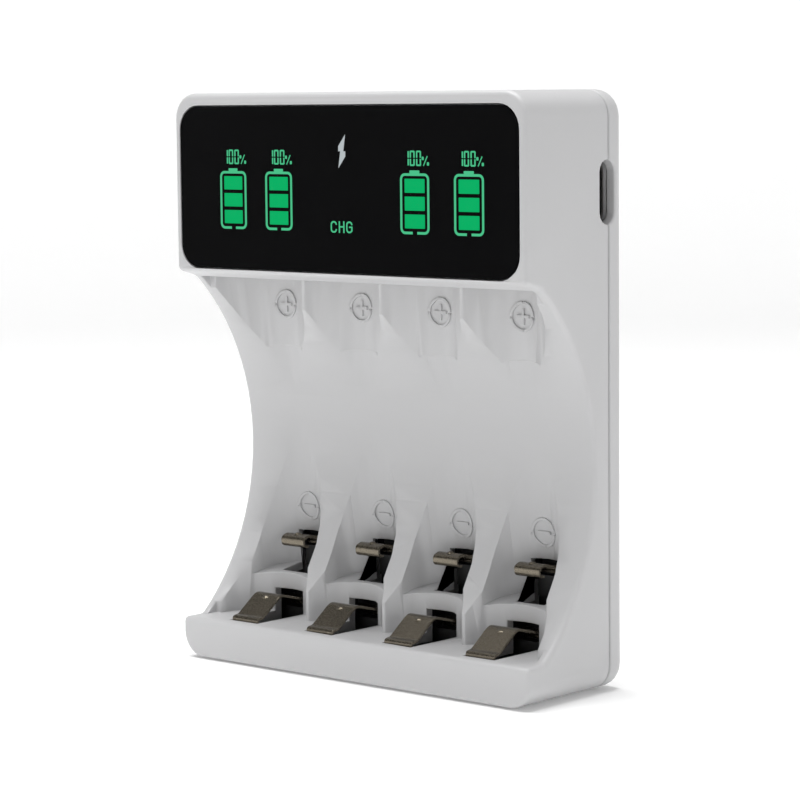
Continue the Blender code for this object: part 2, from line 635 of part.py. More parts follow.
def make_contact_carrier():
    """Black moulding under and behind the bays, with a cradle and a tower in each."""
    foot = SIDE_WALL + GAP
    plate_top = foot + CARRIER_PLATE
    cheek = AA_SLOT_WIDTH / 2
    outer = cheek + CARRIER_WALL
    rear = AA_HINGE[0] + AA_HOOK_RADIUS + STEEL / 2 + GAP
    lift = LIP_INNER_INSET + GAP
    reach = COVER_INSIDE - GAP
    half_width = BAYS[-1] + outer + CARRIER_END
    base_end = SEAM - LIP_REACH - 2 * GAP
    cradle_front = AA_BACK + BAY_WALL + GAP
    cradle_top = AA_HINGE[1] + CRADLE_ABOVE_HINGE
    carrier = box((-half_width, half_width), (foot, base_end), (foot, plate_top), 'contact_carrier')
    tower_half = AAA_SLOT_WIDTH / 2 + CARRIER_WALL / 2
    tower_front = reach - TOWER_PLATE
    tower_top = AAA_HINGE[1] + TOWER_ABOVE_HINGE
    guide_top = tower_top - CARRIER_WALL / 2
    in_tower = reach - TOWER_PLATE / 2
    for x in BAYS:
        under = FLOOR_UNDER - GAP
        parts = []
        for side in (-1, 1):
            cheeks = sorted((x + side * cheek, x + side * outer))
            parts.append(box(cheeks, (foot, cradle_front + CARRIER_WALL / 2), (foot, under)))
            parts.append(box(cheeks, (cradle_front, rear + CARRIER_WALL), (lift, cradle_top)))
            guide = sorted((x + side * (AAA_STRIP_WIDTH / 2 + GAP), x + side * tower_half))
            parts.append(box(guide, (tower_front - GUIDE_DEPTH, in_tower), (guide_top - GUIDE_HEIGHT, guide_top)))
        parts.append(box((x - outer, x + outer), (rear, rear + CARRIER_WALL), (lift, cradle_top)))
        pad_top = AA_HINGE[1] - AA_HOOK_RADIUS - STEEL / 2 - GAP
        parts.append(box((x - outer, x + outer), (cradle_front, rear + CARRIER_WALL / 2), (foot, pad_top)))
        parts.append(box((x - outer, x + outer), (rear, reach), (lift, lift + BRIDGE_HEIGHT)))
        parts.append(box((x - tower_half, x + tower_half), (tower_front, reach), (lift, tower_top)))
        pad_top = AAA_HINGE[1] - AAA_HOOK_RADIUS - STEEL / 2 - GAP
        pad_half = AAA_SLOT_WIDTH / 2 - GAP
        pad = (tower_front - PAD_DEPTH, in_tower)
        parts.append(box((x - pad_half, x + pad_half), pad, (pad_top - PAD_HEIGHT, pad_top)))
        join(carrier, parts)
    return finish(carrier, 'contact_carrier', material('black_nylon', NYLON_BLACK, 0.6))


def make_display():
    """Lens, liquid crystal panel and the white box that lights it."""
    middle = (0, LENS_CENTRE_HEIGHT)
    lens = prism(rounded_rectangle(LENS_WIDTH, LENS_HEIGHT, LENS_RADIUS, centre=middle), 'Y', 0, LENS_THICKNESS)
    finish(lens, 'display_lens', material('black_acrylic', (0.004, 0.004, 0.004), 0.06))
    panel_half = WINDOW_WIDTH / 2 + LCD_BORDER
    low = LENS_CENTRE_HEIGHT - WINDOW_HEIGHT / 2 - LCD_BORDER
    high = LENS_CENTRE_HEIGHT + WINDOW_HEIGHT / 2 + LCD_BORDER
    panel = box((-panel_half, panel_half), (LCD_FRONT, LCD_BACK), (low, high))
    finish(panel, 'lcd_panel', material('lcd_glass', (0.02, 0.03, 0.03), 0.1))
    front, back = LCD_BACK + GAP, BOARD_FRONT - GAP
    outer_width, inner_width = 2 * BOARD_NECK_HALF, 2 * (BOARD_NECK_HALF - LIGHT_BOX_WALL)
    shell = rounded_rectangle(outer_width, WINDOW_HEIGHT, LIGHT_BOX_RADIUS, 3, middle)
    bore = rounded_rectangle(inner_width, WINDOW_HEIGHT - 2 * LIGHT_BOX_WALL, LIGHT_BOX_BORE_RADIUS, 3, middle)
    light_box = prism(shell, 'Y', front, back)
    cut(light_box, prism(bore, 'Y', front - OVER, back + OVER))
    finish(light_box, 'light_box', material('white_reflector', (0.85, 0.85, 0.84), 0.5))
    for number in range(LED_COUNT):
        x = (number - (LED_COUNT - 1) / 2) * inner_width / LED_COUNT
        width, depth, height = LED_SIZE
        lamp = box((x - width / 2, x + width / 2), (BOARD_FRONT - GAP - depth, BOARD_FRONT - GAP),
                   (LENS_CENTRE_HEIGHT - height / 2, LENS_CENTRE_HEIGHT + height / 2))
        finish(lamp, 'backlight_led_%d' % (number + 1), material('led_resin', (0.75, 0.78, 0.60), 0.3))


def on_board(place, size, name, surface):
    """Component on the rear of the board, placed from the display's centre."""
    (x, rise), (width, depth, height) = place, size
    z = LENS_CENTRE_HEIGHT + rise
    start = BOARD_BACK + GAP
    body = box((x - width / 2, x + width / 2), (start, start + depth), (z - height / 2, z + height / 2))
    return finish(body, name, surface)


def make_board():
    """Circuit board with a narrower head between the upper bosses, and its parts."""
    wide, neck = BOARD_HALF, BOARD_NECK_HALF
    outline = [(-wide, BOARD_BOTTOM), (wide, BOARD_BOTTOM), (wide, BOARD_WIDE_TOP), (neck, BOARD_WIDE_TOP),
               (neck, BOARD_TOP), (-neck, BOARD_TOP), (-neck, BOARD_WIDE_TOP), (-wide, BOARD_WIDE_TOP)]
    board = prism(outline, 'Y', BOARD_FRONT, BOARD_BACK)
    finish(board, 'main_board', material('green_laminate', (0.02, 0.16, 0.06), 0.45))
    black = material('chip_epoxy', (0.015, 0.015, 0.016), 0.5)
    on_board(CHIP_PLACE, CHIP_SIZE, 'charge_controller', black)
    on_board(COIL_PLACE, COIL_SIZE, 'power_inductor', material('ferrite', (0.05, 0.05, 0.055), 0.6))
    x, z = CAPACITOR_PLACE[0], LENS_CENTRE_HEIGHT + CAPACITOR_PLACE[1]
    ring = arc((x, BOARD_BACK + GAP + CAPACITOR_RADIUS), CAPACITOR_RADIUS, 0, 2 * math.pi, 16)[:-1]
    can = prism(ring, 'Z', z - CAPACITOR_LENGTH / 2, z + CAPACITOR_LENGTH / 2)
    finish(can, 'output_capacitor', material('aluminium_can', (0.6, 0.6, 0.62), 0.35, 1.0))


def make_usb_inlet():
    """Steel shell, closed at its rear, round a thin contact tongue."""
    centre = (USB_CENTRE_DEPTH, USB_HEIGHT)
    rear = USB_MOUTH - USB_SHELL_DEPTH
    shell = prism(stadium(USB_SHELL_LENGTH, USB_SHELL_WIDTH, centre), 'X', rear, USB_MOUTH)
    inner_length = USB_SHELL_LENGTH - 2 * USB_SHELL_WALL
    inner_width = USB_SHELL_WIDTH - 2 * USB_SHELL_WALL
    cut(shell, prism(stadium(inner_length, inner_width, centre), 'X', rear + USB_SHELL_WALL, USB_MOUTH + OVER))
    finish(shell, 'usb_shell', nickel())
    start = rear + USB_SHELL_WALL + GAP
    base = stadium(inner_length - 2 * GAP, inner_width - 2 * GAP, centre)
    tongue = prism(base, 'X', start, start + USB_BASE_DEPTH)
    thin, long = USB_TONGUE_THICKNESS / 2, USB_TONGUE_LENGTH / 2
    blade = [(centre[0] - thin, centre[1] - long), (centre[0] + thin, centre[1] - long),
             (centre[0] + thin, centre[1] + long), (centre[0] - thin, centre[1] + long)]
    join(tongue, prism(blade, 'X', start + USB_BASE_DEPTH / 2, USB_MOUTH - USB_TONGUE_RECESS))
    finish(tongue, 'usb_tongue', material('black_nylon', NYLON_BLACK, 0.6))


def make_screws():
    """Pan-head screws, put in from the rear."""
    for number, (x, z) in enumerate(screw_places(), 1):
        seat = COUNTERBORE_FLOOR + GAP
        screw = cylinder(x, z, SCREW_HEAD_RADIUS, seat, seat + SCREW_HEAD_HEIGHT, 20)
        join(screw, cylinder(x, z, SCREW_RADIUS, seat - SCREW_LENGTH, seat + SCREW_HEAD_HEIGHT / 2, 12))
        finish(screw, 'cover_screw_%d' % number, nickel(), (x, seat, z))


def make_negative_wiring():
    """Bus strip behind the cradles, and the lead that climbs to the board."""
    rear = AA_HINGE[0] + AA_HOOK_RADIUS + STEEL / 2 + GAP + CARRIER_WALL + GAP
    low = BOSS_LOW[1] + BOSS_RADIUS + GAP
    half = BAYS[-1] + AA_SLOT_WIDTH / 2
    bus = box((-half, half), (rear, rear + STEEL), (low, low + BUS_HEIGHT))
    finish(bus, 'negative_bus', nickel())
    climb = rear + STEEL + GAP + LEAD_RADIUS
    solder = BOARD_BACK + GAP + LEAD_RADIUS
    turns = [(climb, low + LEAD_RADIUS), (climb, BOARD_BOTTOM), (solder, BOARD_BOTTOM + LEAD_RISE),
             (solder, BOARD_BOTTOM + 2 * LEAD_RISE)]
    route = bpy.data.curves.new('negative_lead', 'CURVE')
    route.dimensions = '3D'
    route.bevel_depth = LEAD_RADIUS
    route.bevel_resolution = 2
    route.use_fill_caps = True
    spline = route.splines.new('POLY')
    points = bent(turns, [LEAD_RISE, LEAD_RISE])
    spline.points.add(len(points) - 1)
    for point, (depth, height) in zip(spline.points, points):
        point.co = (0.0, depth, height, 1.0)
    route.materials.append(material('black_insulation', NYLON_BLACK, 0.5))
    lead = bpy.data.objects.new('negative_lead', route)
    bpy.context.collection.objects.link(lead)
    lead.parent = frame


make_front_housing()
make_rear_cover()
make_display()
make_board()
make_usb_inlet()
make_contact_carrier()
for bay, bay_x in enumerate(BAYS, 1):
    make_aa_contact(bay, bay_x)
    make_aaa_contact(bay, bay_x)
    make_positive_contact(bay, bay_x)
make_screws()
make_negative_wiring()
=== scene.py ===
import json
import math

import bmesh
import bpy
from mathutils import Matrix, Vector

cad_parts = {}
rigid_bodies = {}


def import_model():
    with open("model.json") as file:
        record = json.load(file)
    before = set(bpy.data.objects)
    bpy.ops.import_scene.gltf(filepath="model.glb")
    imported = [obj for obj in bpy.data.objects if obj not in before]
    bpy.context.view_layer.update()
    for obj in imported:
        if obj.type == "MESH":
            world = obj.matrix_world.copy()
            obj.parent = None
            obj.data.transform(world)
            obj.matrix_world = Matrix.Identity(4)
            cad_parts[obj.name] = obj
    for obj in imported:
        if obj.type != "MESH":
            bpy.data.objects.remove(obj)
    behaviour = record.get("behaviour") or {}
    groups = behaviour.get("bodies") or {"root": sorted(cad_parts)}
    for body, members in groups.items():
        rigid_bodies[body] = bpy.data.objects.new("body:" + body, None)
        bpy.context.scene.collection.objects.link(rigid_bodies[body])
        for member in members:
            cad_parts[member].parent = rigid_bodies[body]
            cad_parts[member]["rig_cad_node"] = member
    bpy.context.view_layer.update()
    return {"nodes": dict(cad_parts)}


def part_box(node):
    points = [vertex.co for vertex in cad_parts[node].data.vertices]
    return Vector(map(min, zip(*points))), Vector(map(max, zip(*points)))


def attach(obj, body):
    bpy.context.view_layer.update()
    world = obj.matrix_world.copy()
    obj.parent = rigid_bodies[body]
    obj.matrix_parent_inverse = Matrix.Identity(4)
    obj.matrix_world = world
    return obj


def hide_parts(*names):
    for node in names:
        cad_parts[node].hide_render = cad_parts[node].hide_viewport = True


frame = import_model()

MM = 0.001
nodes = frame["nodes"]


# Camera. A long lens stands 41 degrees to the right of the display's normal and 6 degrees up,
# turned half a degree. The values come from the straight edges of the case.
turn, lift, roll = (math.radians(angle) for angle in (41.256, 5.941, -0.575))
back = Vector((math.sin(turn) * math.cos(lift), -math.cos(turn) * math.cos(lift), math.sin(lift)))
level = Vector((math.cos(turn), math.sin(turn), 0.0))
upright = back.cross(level)
rolled = (math.cos(roll) * level + math.sin(roll) * upright,
          math.cos(roll) * upright - math.sin(roll) * level, back)
camera = bpy.data.objects.new("camera", bpy.data.cameras.new("camera"))
bpy.context.collection.objects.link(camera)
pose = Matrix(rolled).transposed().to_4x4()
pose.translation = (0.292653, -0.332388, 0.088093)
camera.matrix_world = pose
camera.data.sensor_width = 36.0
camera.data.lens = 130.863
camera.data.clip_start = 0.02
bpy.context.scene.camera = camera


# Front housing. One white ABS moulding with the bays, scoop and display seat in it.
# Its edges keep the small radius that a mould leaves, and its faces a fine eroded grain.
def linear(code):
    """Scene-linear colour of an sRGB hex code."""
    parts = [int(code[i:i + 2], 16) / 255 for i in (0, 2, 4)]
    return (*(p / 12.92 if p <= 0.04045 else ((p + 0.055) / 1.055) ** 2.4 for p in parts), 1.0)


def add(tree, kind, sockets=None, **settings):
    """Adds a node with its settings, and sets or links its sockets."""
    made = tree.nodes.new(kind)
    for name, value in settings.items():
        setattr(made, name, value)
    for name, value in (sockets or {}).items():
        if isinstance(value, bpy.types.NodeSocket):
            tree.links.new(value, made.inputs[name])
        else:
            made.inputs[name].default_value = value
    return made


def finish_of(name, hex_code, roughness, grain, height, metallic=0.0, spread=0.06, tone=0.04, **more):
    """A surface whose roughness, tone and height vary with a grain of a real size."""
    made = bpy.data.materials.new(name)
    made.use_nodes = True
    tree = made.node_tree
    shader = tree.nodes["Principled BSDF"]
    place = add(tree, "ShaderNodeTexCoord").outputs["Object"]
    fine = add(tree, "ShaderNodeTexNoise", {"Vector": place, "Scale": 1 / grain, "Detail": 3.0})
    broad = add(tree, "ShaderNodeTexNoise", {"Vector": place, "Scale": 1 / (60 * grain), "Detail": 2.0})
    gloss = add(tree, "ShaderNodeMapRange", {"Value": fine.outputs["Fac"], "From Min": 0.3, "From Max": 0.7,
                                             "To Min": roughness - spread, "To Max": roughness + spread})
    tint = add(tree, "ShaderNodeValToRGB", {"Fac": broad.outputs["Fac"]})
    colour = linear(hex_code)
    for stop, share in zip(tint.color_ramp.elements, (1 - tone, 1.0)):
        stop.color = (*(c * share for c in colour[:3]), 1.0)
    relief = add(tree, "ShaderNodeBump", {"Height": fine.outputs["Fac"], "Distance": height, "Strength": 0.6})
    tree.links.new(gloss.outputs["Result"], shader.inputs["Roughness"])
    tree.links.new(tint.outputs["Color"], shader.inputs["Base Color"])
    tree.links.new(relief.outputs["Normal"], shader.inputs["Normal"])
    shader.inputs["Metallic"].default_value = metallic
    for name, value in more.items():
        shader.inputs[name.replace("_", " ")].default_value = value
    return made


def alone(piece):
    """Leaves one piece selected and active."""
    bpy.ops.object.select_all(action="DESELECT")
    piece.select_set(True)
    bpy.context.view_layer.objects.active = piece


def apply_modifiers(piece):
    alone(piece)
    for modifier in list(piece.modifiers):
        bpy.ops.object.modifier_apply(modifier=modifier.name)


# The shortest edge and the narrowest face that are still rounded, in radii of the rounding.
SHORTEST_EDGE, NARROWEST_FACE = 2.4, 1.5


def softened(piece, radius, sharp=35, steps=2, hollowed=False):
    """Rounds the sharp edges, save at corners too small for it, and evens out the shading.

    On a piece hollowed by troughs the shading follows the rounded edges alone."""
    shape = bmesh.new()
    shape.from_mesh(piece.data)
    weights = shape.edges.layers.float.new("bevel_weight_edge")
    sharp_edges = [edge for edge in shape.edges if edge.calc_face_angle(0) > math.radians(sharp)]
    tight = {vert for edge in sharp_edges if edge.calc_length() < SHORTEST_EDGE * radius
             for vert in edge.verts}
    for edge in sharp_edges:
        smallest = min(face.calc_area() for face in edge.link_faces)
        narrow = smallest < NARROWEST_FACE * radius * edge.calc_length()
        edge[weights] = float(not narrow and not tight & set(edge.verts))
    shape.to_mesh(piece.data)
    shape.free()
    alone(piece)
    bpy.ops.object.shade_smooth_by_angle(angle=math.radians(sharp))
    edge = piece.modifiers.new("edge radius", "BEVEL")
    edge.width, edge.segments, edge.limit_method = radius, steps, "WEIGHT"
    edge.use_clamp_overlap, edge.harden_normals = False, hollowed
    apply_modifiers(piece)
    if not hollowed:
        bpy.ops.object.shade_smooth_by_angle(angle=math.radians(sharp))
        piece.modifiers.new("even shading", "WEIGHTED_NORMAL").keep_sharp = True
        apply_modifiers(piece)


MERGE_WITHIN = 0.002 * MM
FLAT_WITHIN = math.radians(1)


def moulded_copy(name, body, skin, radius, sharp=35, hollowed=False):
    """Shown copy of a CAD node, its triangles merged and its edges rounded."""
    piece = nodes[name].copy()
    piece.data = nodes[name].data.copy()
    bpy.context.collection.objects.link(piece)
    del piece["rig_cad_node"]
    piece.parent = None
    piece.name = name + "_shown"
    alone(piece)
    bpy.ops.object.mode_set(mode="EDIT")
    bpy.ops.mesh.select_all(action="SELECT")
    bpy.ops.mesh.remove_doubles(threshold=MERGE_WITHIN)
    bpy.ops.mesh.dissolve_limited(angle_limit=FLAT_WITHIN)
    bpy.ops.object.mode_set(mode="OBJECT")
    piece.data.materials.clear()
    piece.data.materials.append(skin)
    softened(piece, radius, sharp, hollowed=hollowed)
    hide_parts(name)
    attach(piece, body)
    return piece


# ABS, injection moulded in an eroded tool: soft satin sheen over a grain of about a quarter millimetre.
abs_plastic = finish_of("moulded_abs", "C4C4C5", 0.42, 0.25 * MM, 0.008 * MM, tone=0.015, IOR=1.53,
                        Specular_IOR_Level=0.4)
HOUSING_EDGE = 0.15 * MM
housing = moulded_copy("front_housing", "charger", abs_plastic, HOUSING_EDGE, hollowed=True)


# Rear cover. A shallow ABS tray with a broad rear radius, screwed on from behind.
# The gap to the housing shows as a fine dark line down the sides.
COVER_EDGE = 0.25 * MM
moulded_copy("rear_cover", "charger", abs_plastic, COVER_EDGE)


# Polarity marks. Low rings with a plus or a minus, moulded in the troughs' backs with the
# housing: plus high up where a cell's button goes, minus near the foot of the AAA trough.
def plate(name, x, z, width, height, corner, front, depth, steps=6):
    """A flat plate that faces -Y with rounded corners."""
    bpy.ops.object.select_all(action="DESELECT")
    bpy.ops.mesh.primitive_plane_add(size=1, location=(x, front, z), rotation=(math.pi / 2, 0, 0))
    piece = bpy.context.object
    piece.name = name
    piece.scale = (width, height, 1)
    bpy.ops.object.transform_apply(location=True, rotation=True, scale=True)
    bpy.ops.object.mode_set(mode="EDIT")
    bpy.ops.mesh.select_all(action="SELECT")
    if corner:
        bpy.ops.mesh.bevel(offset=corner, segments=steps, affect="VERTICES", clamp_overlap=False)
        bpy.ops.mesh.select_all(action="SELECT")
    if depth:
        bpy.ops.mesh.extrude_region_move(TRANSFORM_OT_translate={"value": (0, depth, 0)})
        bpy.ops.mesh.select_all(action="SELECT")
        bpy.ops.mesh.normals_make_consistent(inside=False)
    bpy.ops.object.mode_set(mode="OBJECT")
    return piece


def joined(pieces, name):
    """One piece out of several."""
    bpy.ops.object.select_all(action="DESELECT")
    for piece in pieces:
        piece.select_set(True)
    bpy.context.view_layer.objects.active = pieces[0]
    bpy.ops.object.join()
    pieces[0].name = name
    return pieces[0]


def framed(x, z, width, height, corner, line, front, steps):
    """Flat frame of an even width that faces -Y; a ring where the corner is half its size."""
    frame_piece = plate("frame", x, z, width, height, corner, front, 0, steps)
    alone(frame_piece)
    bpy.ops.object.mode_set(mode="EDIT")
    bpy.ops.mesh.select_all(action="SELECT")
    bpy.ops.mesh.inset(thickness=line)
    bpy.ops.mesh.delete(type="FACE")
    bpy.ops.object.mode_set(mode="OBJECT")
    return frame_piece


MARK_SIZE, MARK_LINE, MARK_RISE, MARK_BAR = 4.6 * MM, 0.45 * MM, 0.25 * MM, 2.4 * MM
PLUS_HEIGHT, MINUS_HEIGHT = 55.7 * MM, 22.95 * MM
RING_CORNER = MARK_SIZE * 0.4999
MARK_EDGE = 0.07 * MM
START_BEHIND_FRONT = 5 * MM
BAR_CUTS = 6
bay_boxes = [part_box("aa_negative_contact_%d" % bay) for bay in range(1, 5)]
bay_centres = [(near.x + far.x) / 2 for near, far in bay_boxes]
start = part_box("front_housing")[0].y + START_BEHIND_FRONT
for bay, x in enumerate(bay_centres, 1):
    for sign, z in (("plus", PLUS_HEIGHT), ("minus", MINUS_HEIGHT)):
        parts = [framed(x, z, MARK_SIZE, MARK_SIZE, RING_CORNER, MARK_LINE, start, 12),
                 plate("bar", x, z, MARK_BAR, MARK_LINE, 0, start, 0)]
        if sign == "plus":
            arm = (MARK_BAR - MARK_LINE) / 2
            for side in (-1, 1):
                arm_height = z + side * (MARK_LINE + arm) / 2
                parts.append(plate("arm", x, arm_height, MARK_LINE, arm, 0, start, 0))
        for bar in parts[1:]:
            alone(bar)
            bpy.ops.object.mode_set(mode="EDIT")
            bpy.ops.mesh.select_all(action="SELECT")
            bpy.ops.mesh.subdivide(number_cuts=BAR_CUTS)
            bpy.ops.object.mode_set(mode="OBJECT")
        mark = joined(parts, "%s_mark_%d" % (sign, bay))
        lay = mark.modifiers.new("lay on the trough", "SHRINKWRAP")
        lay.target, lay.wrap_method = housing, "PROJECT"
        lay.use_project_y = lay.use_positive_direction = True
        rise = mark.modifiers.new("rise", "SOLIDIFY")
        rise.thickness, rise.offset = MARK_RISE, 1.0
        mark.data.materials.append(abs_plastic)
        apply_modifiers(mark)
        softened(mark, MARK_EDGE, 50)
        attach(mark, "charger")


# Display window. Glossy black acrylic dropped into a shallow seat, its front edge just broken.
# The symbols lie behind it in the real charger; here they are thin lit plates in its face.
acrylic = finish_of("black_acrylic", "070708", 0.05, 0.5 * MM, 0.0002 * MM, spread=0.01, tone=0.2,
                    IOR=1.49, Specular_IOR_Level=0.03)
low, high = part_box("display_lens")
middle = (low + high) / 2
LENS_BACKSET, LENS_CORNER, LENS_EDGE = 0.05 * MM, 3.6 * MM, 0.2 * MM
lens = plate("display_window", middle.x, middle.z, high.x - low.x, high.z - low.z, LENS_CORNER,
             low.y + LENS_BACKSET, high.y - low.y - LENS_BACKSET, 12)
lens.data.materials.append(acrylic)
softened(lens, LENS_EDGE, 40, 3)
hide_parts("display_lens")
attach(lens, "charger")


# Display symbols. Per bay a battery outline with three bars, and the charge above it in
# seven-segment digits. Lit from behind, so they glow an even green.
def glowing(name, hex_code, strength):
    """Lit segment: a dark film with an even glow under the window's gloss."""
    made = finish_of(name, "04140C", 0.1, 0.5 * MM, 0.0001 * MM, spread=0.02, Specular_IOR_Level=0.03)
    made.node_tree.nodes["Principled BSDF"].inputs["Emission Color"].default_value = linear(hex_code)
    made.node_tree.nodes["Principled BSDF"].inputs["Emission Strength"].default_value = strength
    return made


bar_green = glowing("lit_bar", "00AE62", 1.0)
line_green = glowing("lit_line", "4ABF88", 1.0)
FACE = low.y + 0.02 * MM
SHEET = 0.03 * MM
SEGMENTS = {"1": "bc", "0": "abcdef"}


def symbol(x, z, width, height, corner=0.0):
    return plate("symbol", x * MM, z * MM, width * MM, height * MM, corner * MM, FACE, SHEET, 3)


def slanted(x, z, width, height, degrees):
    """Symbol leaning to the right by some degrees."""
    piece = symbol(x, z, width, height)
    alone(piece)
    bpy.ops.object.mode_set(mode="EDIT")
    bpy.ops.mesh.select_all(action="SELECT")
    bpy.ops.transform.rotate(value=math.radians(-degrees), orient_axis="Y",
                             center_override=(x * MM, FACE, z * MM))
    bpy.ops.object.mode_set(mode="OBJECT")
    return piece


def digit(figure, x, z, width=0.95, height=2.24, line=0.24):
    """Seven-segment digit with its lower left corner at x, z."""
    half = height / 2
    places = {
        "a": (x + width / 2, z + height - line / 2, width - line, line),
        "b": (x + width - line / 2, z + half * 1.5, line, half - line * 0.7),
        "c": (x + width - line / 2, z + half * 0.5, line, half - line * 0.7),
        "d": (x + width / 2, z + line / 2, width - line, line),
        "e": (x + line / 2, z + half * 0.5, line, half - line * 0.7),
        "f": (x + line / 2, z + half * 1.5, line, half - line * 0.7),
    }
    return [symbol(*places[mark]) for mark in SEGMENTS[figure]]


def outline(x, z, width, height, corner, line, opening, at_foot=True):
    """Rounded frame with a gap in the middle of its foot, or of its right side."""
    ring = framed(x * MM, z * MM, width * MM, height * MM, corner * MM, line * MM, FACE, 5)
    alone(ring)
    across = Vector((1, 0, 0) if at_foot else (0, 0, 1))
    outward = Vector((0, 0, -1) if at_foot else (1, 0, 0))
    middle = Vector((x * MM, FACE, z * MM))
    bpy.ops.object.mode_set(mode="EDIT")
    for side in (-1, 1):
        bpy.ops.mesh.select_all(action="SELECT")
        bpy.ops.mesh.bisect(plane_co=middle + across * side * opening / 2 * MM, plane_no=across)
    bpy.ops.mesh.select_mode(type="FACE")
    bpy.ops.mesh.select_all(action="DESELECT")
    bpy.ops.object.mode_set(mode="OBJECT")
    for face in ring.data.polygons:
        spoke = face.center - middle
        face.select = abs(spoke.dot(across)) < opening / 2 * MM and spoke.dot(outward) > 0
    bpy.ops.object.mode_set(mode="EDIT")
    bpy.ops.mesh.delete(type="FACE")
    bpy.ops.mesh.select_mode(type="VERT")
    bpy.ops.mesh.select_all(action="SELECT")
    bpy.ops.mesh.extrude_region_move(TRANSFORM_OT_translate={"value": (0, SHEET, 0)})
    bpy.ops.mesh.select_all(action="SELECT")
    bpy.ops.mesh.normals_make_consistent(inside=False)
    bpy.ops.object.mode_set(mode="OBJECT")
    return ring


# Places and sizes are millimetres from the case's middle line and from its foot.
BATTERY_PLACES, BATTERY_MIDDLE = (-22.48, -12.85, 14.47, 24.78), 72.62
BATTERY_WIDTH, BATTERY_HEIGHT, BATTERY_CORNER = 5.6, 8.9, 0.9
BATTERY_LINE, BATTERY_GAP = 0.38, 0.9
CAP_MIDDLE, CAP_WIDTH, CAP_HEIGHT = 77.28, 1.9, 0.42
BAR_PLACES, BAR_WIDTH, BAR_HEIGHT, BAR_CORNER = (70.05, 72.65, 75.25), 3.85, 2.05, 0.1
FIGURES_LEFT, FIGURES_FOOT, FIGURE_PITCH, FIGURE_KERN = 2.0, 78.13, 1.22, 0.1
PERCENT_DOTS, DOT_WIDTH, DOT_HEIGHT, DOT_CORNER = ((3.62, 79.25), (4.62, 78.45)), 0.4, 0.5, 0.12
STROKE_PLACE, STROKE_MIDDLE, STROKE_WIDTH, STROKE_LENGTH, STROKE_LEAN = 4.12, 78.88, 0.16, 1.6, 28
bars, lines = [], []
for x in BATTERY_PLACES:
    lines.append(outline(x, BATTERY_MIDDLE, BATTERY_WIDTH, BATTERY_HEIGHT, BATTERY_CORNER,
                         BATTERY_LINE, BATTERY_GAP))
    lines.append(symbol(x, CAP_MIDDLE, CAP_WIDTH, CAP_HEIGHT, DOT_CORNER))
    for z in BAR_PLACES:
        bars.append(symbol(x, z, BAR_WIDTH, BAR_HEIGHT, BAR_CORNER))
    left = x - FIGURES_LEFT
    for place, figure in enumerate("100"):
        kern = FIGURE_KERN if place else 0
        lines += digit(figure, left + FIGURE_PITCH * place - kern, FIGURES_FOOT)
    for dx, z in PERCENT_DOTS:
        lines.append(symbol(left + dx, z, DOT_WIDTH, DOT_HEIGHT, DOT_CORNER))
    lines.append(slanted(left + STROKE_PLACE, STROKE_MIDDLE, STROKE_WIDTH, STROKE_LENGTH, STROKE_LEAN))

# Three letters under the bolt: two open outlines, and five strokes for the H and the last foot.
LETTER_MIDDLE, LETTER_WIDTH, LETTER_HEIGHT, LETTER_CORNER = 68.93, 1.25, 1.75, 0.55
LETTER_LINE, LETTER_GAP = 0.24, 0.62
STROKES = ((-0.45, LETTER_MIDDLE, LETTER_LINE, LETTER_HEIGHT),
           (0.45, LETTER_MIDDLE, LETTER_LINE, LETTER_HEIGHT),
           (0.0, 68.97, 0.66, 0.22), (2.055, 68.58, LETTER_LINE, 0.5), (1.84, 68.94, 0.67, 0.22))
for x in (-1.58, 1.55):
    lines.append(outline(x, LETTER_MIDDLE, LETTER_WIDTH, LETTER_HEIGHT, LETTER_CORNER, LETTER_LINE,
                         LETTER_GAP, at_foot=False))
for x, z, width, height in STROKES:
    lines.append(symbol(x, z, width, height))
for name, pieces, glow in (("charge_bars", bars, bar_green), ("charge_outlines", lines, line_green)):
    group = joined(pieces, name)
    group.data.materials.append(glow)
    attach(group, "charger")


# Charging mark. A plain bolt in the middle of the window's head, printed in pale grey; its grey is painted
# light, an even glow of its own rather than a lit print. Each half is a plate cut to a triangle. Places and
# sizes are in millimetres, as above.
BOLT_PLACE, BOLT_MIDDLE, BOLT_HALF_WIDTH, BOLT_HALF_HEIGHT = 0.2, 80.2, 2.3, 2.5
BOLT_SHIFT, BOLT_TIP = 0.45, 0.7
BOLT_INNER, BOLT_OUTER = 0.3, -1.3
halves = []
for side in (1, -1):
    half = plate("bolt", side * BOLT_SHIFT * MM + BOLT_PLACE * MM,
                 (BOLT_MIDDLE + side * BOLT_HALF_HEIGHT / 2) * MM,
                 BOLT_HALF_WIDTH * MM, BOLT_HALF_HEIGHT * MM, 0, FACE, 0)
    alone(half)
    bpy.ops.object.mode_set(mode="EDIT")
    tip = Vector((BOLT_PLACE + side * BOLT_TIP, 0, BOLT_MIDDLE + side * BOLT_HALF_HEIGHT)) * MM
    for foot, turn_in in ((BOLT_OUTER, -side), (BOLT_INNER, side)):
        low_corner = Vector((BOLT_PLACE + side * foot, 0, BOLT_MIDDLE)) * MM
        along = (tip - low_corner).normalized()
        outward = (along.z * side * turn_in, 0, -along.x * side * turn_in)
        bpy.ops.mesh.select_all(action="SELECT")
        bpy.ops.mesh.bisect(plane_co=low_corner, plane_no=outward, clear_outer=True)
    bpy.ops.mesh.select_all(action="SELECT")
    bpy.ops.mesh.extrude_region_move(TRANSFORM_OT_translate={"value": (0, SHEET, 0)})
    bpy.ops.mesh.select_all(action="SELECT")
    bpy.ops.mesh.normals_make_consistent(inside=False)
    bpy.ops.object.mode_set(mode="OBJECT")
    halves.append(half)
bolt = joined(halves, "charge_bolt")
# Painted light: the bolt's pale grey is an even glow, not a print lit by the lamps.
bolt.data.materials.append(glowing("bolt_print_painted_glow", "B4BABE", 1.0))
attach(bolt, "charger")


